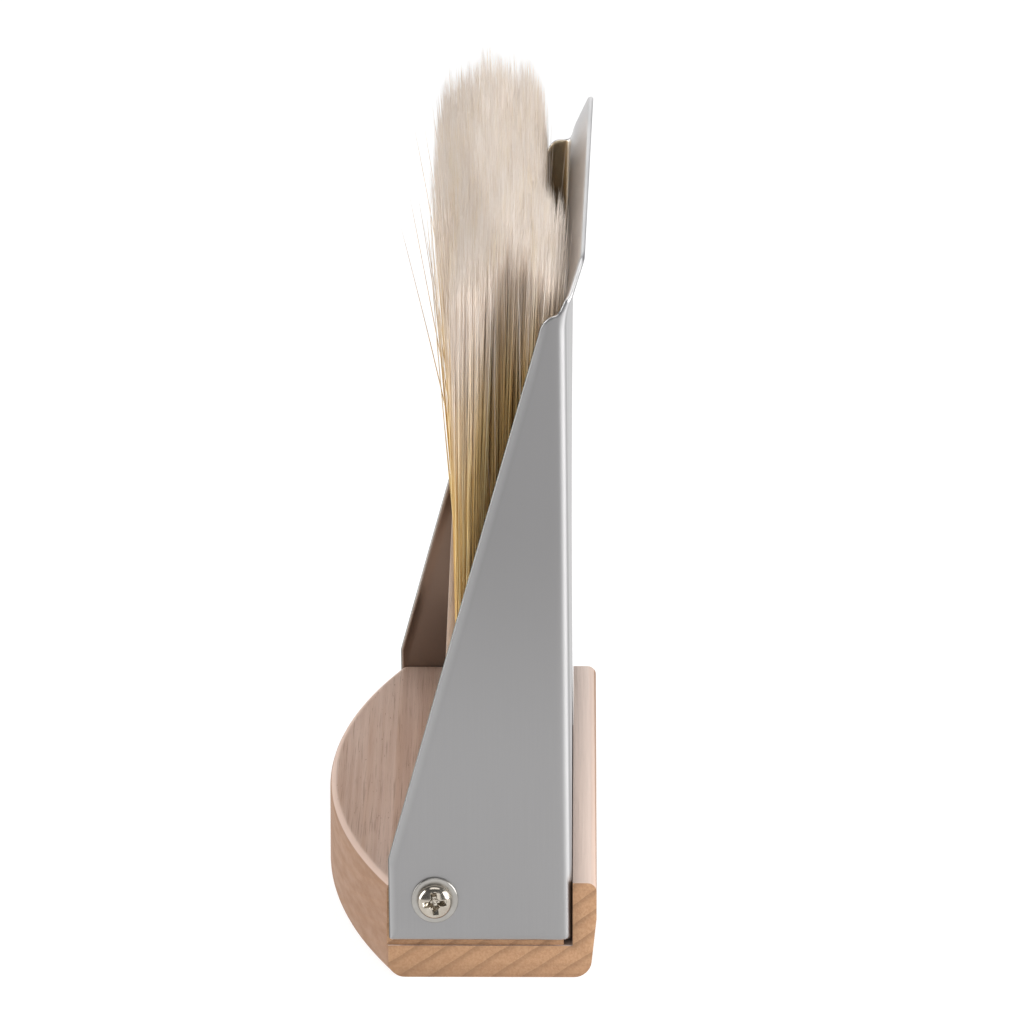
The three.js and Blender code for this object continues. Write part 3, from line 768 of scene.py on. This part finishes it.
def scoop_back(material):
    """The scoop's wooden back: an arched board, sawn for the sheet, its ends rebated for the walls."""
    low, high = box_mm("scoop_back")
    open_x = box_mm("scoop_sheet")[0][0]
    heights, outer = floor_line()
    top = high[2]
    quarter = np.radians(np.linspace(0, 90, 9))
    levels = [FOOT_ROUND * (1 - math.cos(a)) for a in quarter] + [TAPER_Z]
    levels += [top - BENCH_ROUND * (1 - math.cos(a)) for a in quarter[::-1]]
    block = loft("scoop_back_fine", [block_ring(z, low, high, open_x) for z in levels])
    out = np.interp(REBATE_Z + 1, heights, outer) + KERF_OUTSIDE
    for side in (-1, 1):
        reach = sorted((side * (high[1] - REBATE_DEPTH), side * (high[1] + 2)))
        box = [(low[0] - 2, REBATE_Z), (out, REBATE_Z), (out, top + 2), (low[0] - 2, top + 2)]
        combine(block, along_y("rebate", box, *reach), "DIFFERENCE")
    inn = out - KERF_OUTSIDE - SHEET - KERF_INSIDE
    kerf = [(inn, REBATE_Z), (out, REBATE_Z), (out, top + 2), (inn, top + 2)]
    combine(block, along_y("kerf", kerf, low[1] - 1, high[1] + 1), "DIFFERENCE")
    soften(block, ARRIS)
    washer_low, washer_high = box_mm("side_washer_1")
    pilot_x, pilot_z = (washer_low[0] + washer_high[0]) / 2, (washer_low[2] + washer_high[2]) / 2
    circle = arc(pilot_x, pilot_z, PILOT_RADIUS, 0, 2 * math.pi * 31 / 32, 31)
    for number in (1, 2):
        screw_low, screw_high = box_mm(f"side_screw_{number}")
        reach = (screw_low[1] - PILOT_PAST_SCREW, screw_high[1] + PILOT_PAST_SCREW)
        combine(block, along_y("pilot", circle, *reach), "DIFFERENCE")
    shade_smooth(block)
    return finish_piece(block, "scoop_back", material)


def tuft_nodes():
    return sorted(node for node in frame["nodes"] if node.startswith("tuft_"))


def tuft_line(node):
    """The middles of the foot and of the tip of a CAD tuft, in millimetres."""
    points = node_points(node)
    foot = points[points[:, 2] < points[:, 2].min() + 0.01].mean(axis=0)
    tip = points[points[:, 2] > points[:, 2].max() - 0.01].mean(axis=0)
    return foot, tip


def brush_back(material):
    """The brush's wooden back: an arched board with a drilled hole for each tuft."""
    low, high = box_mm("brush_back")
    outline = arch_outline(high[1], high[2], low[2] + BRUSH_ARCH, low[2])
    board = prism("brush_back_fine", outline, lambda u, v, w: (w, v, u), low[0], high[0])
    side_view = rounded([
        (low[0], low[2], BRUSH_CORNER),
        (high[0], low[2], BRUSH_CORNER),
        (high[0], high[2], 0),
        (low[0], high[2], 0),
    ])
    combine(board, along_y("side_view", side_view, low[1] - 1, high[1] + 1), "INTERSECT")
    soften(board, ARRIS)
    circle = arc(0, 0, HOLE_RADIUS, 0, 2 * math.pi * 23 / 24, 23)
    points, faces = [], []
    for node in tuft_nodes():
        foot, _ = tuft_line(node)
        start = len(points)
        for z in (high[2] - HOLE_DEPTH, high[2] + 1):
            points += [(foot[0] + u, foot[1] + v, z) for u, v in circle]
        count = len(circle)
        faces += [(start + i, start + (i + 1) % count, start + (i + 1) % count + count, start + i + count)
                  for i in range(count)]
        faces.append(tuple(start + i for i in reversed(range(count))))
        faces.append(tuple(start + count + i for i in range(count)))
    drill = object_from("drill", points, faces)
    outward(drill)
    combine(board, drill, "DIFFERENCE")
    shade_smooth(board)
    return finish_piece(board, "brush_back", material)


# ---------------------------------------------------------------- the screws and washers

def driver_blade(name, length, width, turn, top):
    """One tapered blade of a cross driver's tip, pointing along -Y, turned about Y."""
    rings = []
    for y, length_share, width_share in ((-RECESS_DEPTH, 0.34, 0.6), (0, 1.0, 1.0), (0.6, 1.1, 1.1)):
        a, b = length * length_share / 2, width * width_share / 2
        ring = [(-a, -b), (a, -b), (a, b), (-a, b)]
        rings.append([
            (u * math.cos(turn) - v * math.sin(turn), top + y, u * math.sin(turn) + v * math.cos(turn))
            for u, v in ring
        ])
    return loft(name, rings)


def side_screw(number, material):
    """A pan-head screw with a cross recess, pointing into the block's end."""
    node = f"side_screw_{number}"
    low, high = box_mm(node)
    facing = -1 if number == 1 else 1
    top = high[1] if facing > 0 else -low[1]
    centre_x, centre_z = (low[0] + high[0]) / 2, (low[2] + high[2]) / 2
    radius = (high[0] - low[0]) / 2
    reach = high[1] - low[1] - HEAD_HEIGHT
    crown = [(radius * math.cos(a), HEAD_HEIGHT * (HEAD_RIM_SHARE + (1 - HEAD_RIM_SHARE) * math.sin(a)))
             for a in np.radians(np.linspace(0, 90, 20))]
    crown = [(radius - HEAD_CHAMFER, 0), (radius, HEAD_CHAMFER)] + crown[:-1] + [(0, HEAD_HEIGHT)]
    thread = []
    for turn in range(THREAD_TURNS):
        y = -THREAD_PITCH * (1 + turn)
        thread += [(SHANK_RADIUS, y), (SHANK_RADIUS - THREAD_DEPTH, y - THREAD_PITCH / 2)]
    point = [(0, -reach), (SHANK_RADIUS * POINT_RADIUS_SHARE, POINT_LENGTH - reach)]
    profile = point + thread[::-1] + [(SHANK_RADIUS, 0)] + crown
    piece = lathe(f"{node}_fine", profile, 96)
    for quarter in (0, 1):
        turn = math.radians(RECESS_TURN + 90 * quarter)
        blade = driver_blade("blade", RECESS_LENGTH, RECESS_WIDTH, turn, HEAD_HEIGHT)
        combine(piece, blade, "DIFFERENCE")
    core = loft("core", [[(r * math.cos(a), HEAD_HEIGHT + y, r * math.sin(a)) for a in
                          np.radians(np.arange(0, 360, 15))]
                         for y, r in ((-RECESS_DEPTH - 0.1, 0.35), (0, 1.0), (0.4, 1.2))])
    combine(piece, core, "DIFFERENCE")
    soften(piece, 0.05, 2, 35)
    move = Matrix.Translation(Vector((centre_x, facing * (top - HEAD_HEIGHT), centre_z)) * MM)
    piece.data.transform(move @ Matrix.Rotation(math.pi if facing < 0 else 0, 4, "Z"))
    return finish_piece(piece, node, material)


def side_washer(number, material):
    """A plain washer with a rolled outer edge."""
    node = f"side_washer_{number}"
    low, high = box_mm(node)
    centre = (low + high) / 2
    outer = (high[0] - low[0]) / 2
    inner = WASHER_HOLE_RADIUS
    half = (high[1] - low[1]) / 2
    edge = WASHER_EDGE
    chamfer = WASHER_HOLE_CHAMFER
    profile = [(outer - edge + edge * math.cos(a), (half - edge) + edge * math.sin(a))
               for a in np.radians(np.linspace(90, 0, 6))]
    profile += [(outer - edge + edge * math.cos(a), -(half - edge) + edge * math.sin(a))
                for a in np.radians(np.linspace(0, -90, 6))]
    profile += [(inner + chamfer, -half), (inner, -half + chamfer)]
    profile += [(inner, half - chamfer), (inner + chamfer, half)]
    piece = lathe(f"{node}_fine", profile, 96)
    piece.data.transform(Matrix.Translation(Vector(centre * MM)))
    shade_smooth(piece, 50)
    return finish_piece(piece, node, material)


# ---------------------------------------------------------------- the bristles

def strands(name, paths, radii, along, shades):
    """A mesh of thin closed strands. paths is (strand, ring, xyz); the last ring is the strand's point."""
    count, rings, _ = paths.shape
    body = rings - 1
    corners = np.arange(STRAND_SIDES)[None, None, :] * 2 * math.pi / STRAND_SIDES
    turn = shades[:, None, None] * 2 * math.pi + corners
    circle = np.stack([np.cos(turn), np.sin(turn), np.zeros_like(turn)], axis=-1)
    skin = paths[:, :body, None, :] + radii[None, :body, None, None] * circle
    points = np.concatenate([skin.reshape(count, -1, 3), paths[:, -1:, :]], axis=1)
    size = points.shape[1]
    quads, tris = [], []
    for r in range(body - 1):
        for k in range(STRAND_SIDES):
            n = (k + 1) % STRAND_SIDES
            quads.append((r * STRAND_SIDES + k, r * STRAND_SIDES + n,
                          (r + 1) * STRAND_SIDES + n, (r + 1) * STRAND_SIDES + k))
    last = (body - 1) * STRAND_SIDES
    for k in range(STRAND_SIDES):
        tris.append((last + k, last + (k + 1) % STRAND_SIDES, size - 1))
    tris.append((2, 1, 0))
    starts = (np.arange(count) * size)[:, None, None]
    quads = (np.array(quads)[None] + starts).reshape(-1, 4)
    tris = (np.array(tris)[None] + starts).reshape(-1, 3)
    mesh = bpy.data.meshes.new(name)
    mesh.vertices.add(count * size)
    mesh.vertices.foreach_set("co", (points * MM).astype(np.float32).ravel())
    loops = np.concatenate([quads.ravel(), tris.ravel()])
    lengths = np.concatenate([np.full(len(quads), 4), np.full(len(tris), 3)])
    mesh.loops.add(len(loops))
    mesh.loops.foreach_set("vertex_index", loops.astype(np.int32))
    mesh.polygons.add(len(lengths))
    mesh.polygons.foreach_set("loop_start", np.concatenate([[0], np.cumsum(lengths)[:-1]]).astype(np.int32))
    mesh.polygons.foreach_set("loop_total", lengths.astype(np.int32))
    mesh.update(calc_edges=True)
    mesh.validate()
    along_all = np.concatenate([np.repeat(along[:, :body], STRAND_SIDES, axis=1), along[:, -1:]], axis=1)
    for label, values in (("along", along_all.ravel()), ("strand", np.repeat(shades, size))):
        attribute = mesh.attributes.new(label, "FLOAT", "POINT")
        attribute.data.foreach_set("value", values.astype(np.float32))
    mesh.polygons.foreach_set("use_smooth", np.ones(len(lengths), bool))
    return new_object(name, mesh)


RING_SHARES = np.array([-0.1, 0.0, 0.12, 0.28, 0.45, 0.62, 0.78, 0.9, 1.0])

# Loose bristles: the row of their hole, place along the brush, how far the tip strays, and its height
STRAYS = [
    ("a", 20, -11.6, 100.2), ("a", 22, -10.2, 104.4), ("a", 18, -8.9, 104.9), ("a", 24, -8.2, 99),
    ("a", 44, -10.1, 111.0), ("a", 46, -8.2, 110.4), ("a", 50, -6.7, 112.2), ("a", 51, -6.2, 113.0),
    ("a", 52, -5.6, 113.8), ("a", 35, -7.4, 106.0), ("c", 30, 3.5, 110.4), ("c", 26, 5.7, 110.6),
    ("b", -54, -2.6, 98.0), ("a", -53, 3.9, 104.0), ("b", -56, -0.4, 108.0), ("c", -56, -1.6, 109.0),
]
STRAY_BEND = 1.3  # how late they stray
STRAY_RADIUS = 0.11


def trim(points, tips):
    """The height that the bristles are trimmed to: a smooth surface through the tips of the CAD tufts."""
    distance = ((points[:, None, :] - tips[None, :, :2]) ** 2).sum(axis=-1)
    nearest = distance.min(axis=1, keepdims=True)
    weight = np.exp((nearest - distance) / (2 * TRIM_REACH ** 2))
    return (weight * tips[None, :, 2]).sum(axis=1) / weight.sum(axis=1)


def tuft(node, tips, material, random):
    """One tuft: strands that rise from the drilled hole, spread, and gather in small ragged locks."""
    foot, tip = tuft_line(node)
    face = box_mm("brush_back")[1][2]
    count = STRANDS_PER_TUFT
    angle = random.uniform(0, 2 * math.pi, count)
    reach = np.sqrt(random.uniform(0, 1, count))
    disk = np.stack([reach * np.cos(angle), reach * np.sin(angle)], axis=-1)
    root = foot[:2] + disk * (HOLE_RADIUS - ROOT_MARGIN)
    jitter = random.normal(0, TIP_JITTER, (count, 2))
    spread = (disk + jitter) * (TIP_SPREAD_X, TIP_SPREAD_Y)
    lock_middle = random.uniform(-1, 1, (LOCKS_PER_TUFT, 2)) * (TIP_SPREAD_X, TIP_SPREAD_Y)
    lock_of = np.argmin(((spread[:, None] - lock_middle[None]) ** 2).sum(axis=-1), axis=1)
    lock_height = random.normal(0, LOCK_HEIGHT, LOCKS_PER_TUFT)
    gather = random.uniform(*LOCK_GATHER, count)
    pull = (lock_middle[lock_of] - spread) * gather[:, None]
    short = random.exponential(SHORTNESS, count)
    middle_x = tips[np.abs(tips[:, 1] - tip[1]) < TUFT_REACH, 0].mean()
    across = (tip[0] + spread[:, 0] - middle_x) / BRUSH_HALF_SPREAD
    crown = CROWN_DROP * np.maximum(0, np.abs(across) - CROWN_START) ** 2
    top = trim(tip[:2] + spread, tips) + TIP_LIFT + lock_height[lock_of] - short - crown
    sway = random.normal(0, SWAY, (count, 2))
    phase = random.uniform(0, 2 * math.pi, count)

    paths = np.zeros((count, len(RING_SHARES), 3))
    for k, t in enumerate(RING_SHARES):
        if t < 0:
            paths[:, k, :2] = root
            paths[:, k, 2] = foot[2]
            continue
        open_up = t ** OPENING_POWER
        centre = foot[:2] + (tip[:2] - foot[:2]) * open_up
        local = (root - foot[:2]) * (1 - open_up) + spread * open_up
        wave = sway * (math.sin(math.pi * t) + 0.3 * np.sin(phase + 5 * t))[:, None]
        paths[:, k, :2] = centre + local + wave + pull * t ** GATHERING_POWER
        paths[:, k, 2] = face + (top - face) * t
    thin = np.interp(RING_SHARES, [0.55, 1.0], [1.0, TIP_RADIUS_SHARE])
    shades = random.uniform(0, 1, count)
    rise = np.clip(RING_SHARES, 0, 1)[None, :]
    # painted shade: towards the floor side, strands stay golden brown further up, standing in for the shade
    # deep in the brush
    golden = np.clip(across + GOLDEN_OFFSET, 0, GOLDEN_REACH)[:, None]
    along = rise - GOLDEN_SHIFT * (1 - rise ** 3) * golden
    piece = strands(f"bristles_{node[5:]}", paths, STRAND_RADIUS * thin, along, shades)
    return finish_piece(piece, node, material)


def loose_bristles(material, random):
    """The few long bristles that stand away from the rest."""
    face = box_mm("brush_back")[1][2]
    feet = {node: tuft_line(node)[0] for node in tuft_nodes()}
    shares = np.linspace(0, 1, 12)
    paths = np.zeros((len(STRAYS), len(shares), 3))
    for i, (row, y, stray, height) in enumerate(STRAYS):
        row_feet = [foot for node, foot in feet.items() if node.startswith(f"tuft_{row}")]
        foot = min(row_feet, key=lambda point: abs(point[1] - y))
        paths[i, :, 0] = foot[0] + stray * shares ** STRAY_BEND + 0.2 * np.sin(5 * shares + i)
        paths[i, :, 1] = foot[1] + (y - foot[1]) * shares
        paths[i, :, 2] = face - 2 + (height - face + 2) * shares
    thin = np.interp(shares, [0.5, 1.0], [1.0, TIP_RADIUS_SHARE])
    along = np.tile(shares, (len(STRAYS), 1))
    shades = random.uniform(0, 0.6, len(STRAYS))
    piece = strands("bristles_loose", paths, STRAY_RADIUS * thin, along, shades)
    piece.data.materials.append(material)
    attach(piece, BODY_OF["brush_back"])
    return piece


# ---------------------------------------------------------------- the stage

def stage_and_camera():
    """A pale floor, soft studio light and the camera."""
    floor = object_from("floor", FLOOR_CORNERS, [(0, 1, 2, 3)])
    material, _, shader = new_material("pale_floor")
    shader.inputs["Base Color"].default_value = (0.3, 0.3, 0.3, 1)
    shader.inputs["Roughness"].default_value = 0.9
    shader.inputs["Specular IOR Level"].default_value = 0.1
    shader.inputs["Emission Color"].default_value = (1, 1, 1, 1)
    shader.inputs["Emission Strength"].default_value = 0.8
    floor.data.materials.append(material)

    world = bpy.data.worlds.new("studio")
    bpy.context.scene.world = world
    world.use_nodes = True
    world.node_tree.nodes["Background"].inputs["Color"].default_value = (0.97, 0.985, 1.0, 1)
    world.node_tree.nodes["Background"].inputs["Strength"].default_value = 0.15
    for name, place, size, energy in LAMPS:
        lamp = bpy.data.lights.new(name, "AREA")
        lamp.size = size * MM
        lamp.energy = energy
        lamp_object = bpy.data.objects.new(name, lamp)
        bpy.context.scene.collection.objects.link(lamp_object)
        lamp_object.location = Vector(place) * MM
        aim = Vector(CAMERA_TARGET) * MM - lamp_object.location
        lamp_object.rotation_euler = aim.to_track_quat("-Z", "Y").to_euler()

    camera = bpy.data.cameras.new("camera")
    camera.lens = CAMERA_LENS
    camera.sensor_width = 36
    camera_object = bpy.data.objects.new("camera", camera)
    bpy.context.scene.collection.objects.link(camera_object)
    rise, turn = math.radians(CAMERA_ELEVATION), math.radians(CAMERA_TURN)
    forward = Vector((-math.sin(turn) * math.cos(rise), math.cos(turn) * math.cos(rise), -math.sin(rise)))
    camera_object.location = (Vector(CAMERA_TARGET) - CAMERA_DISTANCE * forward) * MM
    camera_object.rotation_euler = forward.to_track_quat("-Z", "Y").to_euler()
    bpy.context.scene.camera = camera_object
    bpy.context.scene.view_settings.view_transform = "Standard"


stage_and_camera()
scoop_sheet(satin_steel())
# the side tones are painted shade: the block's arched side is given much darker beech than its faces, as it
# stands in shade
block_wood = beech(
    "beech_block",
    face=((0.46, 0.33, 0.27), (0.58, 0.44, 0.37)),
    side=((0.29, 0.160, 0.092), (0.34, 0.195, 0.118)),
    end=((0.42, 0.23, 0.123), (0.50, 0.295, 0.165)),
    arris_share=0.8,
    lit_strip_share=0.75,
)
scoop_back(block_wood)
brush_wood = beech(
    "beech_brush",
    face=((0.60, 0.47, 0.39), (0.69, 0.57, 0.49)),
    side=((0.60, 0.47, 0.39), (0.69, 0.56, 0.48)),
    end=((0.64, 0.47, 0.36), (0.73, 0.56, 0.45)),
)
brush_back(brush_wood)
nickel = plating("nickel_plate", (0.44, 0.395, 0.335), (0.54, 0.495, 0.43), 0.16)
zinc = plating("zinc_plate", (0.37, 0.355, 0.33), (0.43, 0.415, 0.39), 0.28)
for number in (1, 2):
    side_screw(number, nickel)
    side_washer(number, zinc)
bristle_material = bristle()
random = np.random.default_rng(SEED)
tuft_tips = np.array([tuft_line(node)[1] for node in tuft_nodes()])
for tuft_node in tuft_nodes():
    tuft(tuft_node, tuft_tips, bristle_material, random)
loose_bristles(bristle_material, random)
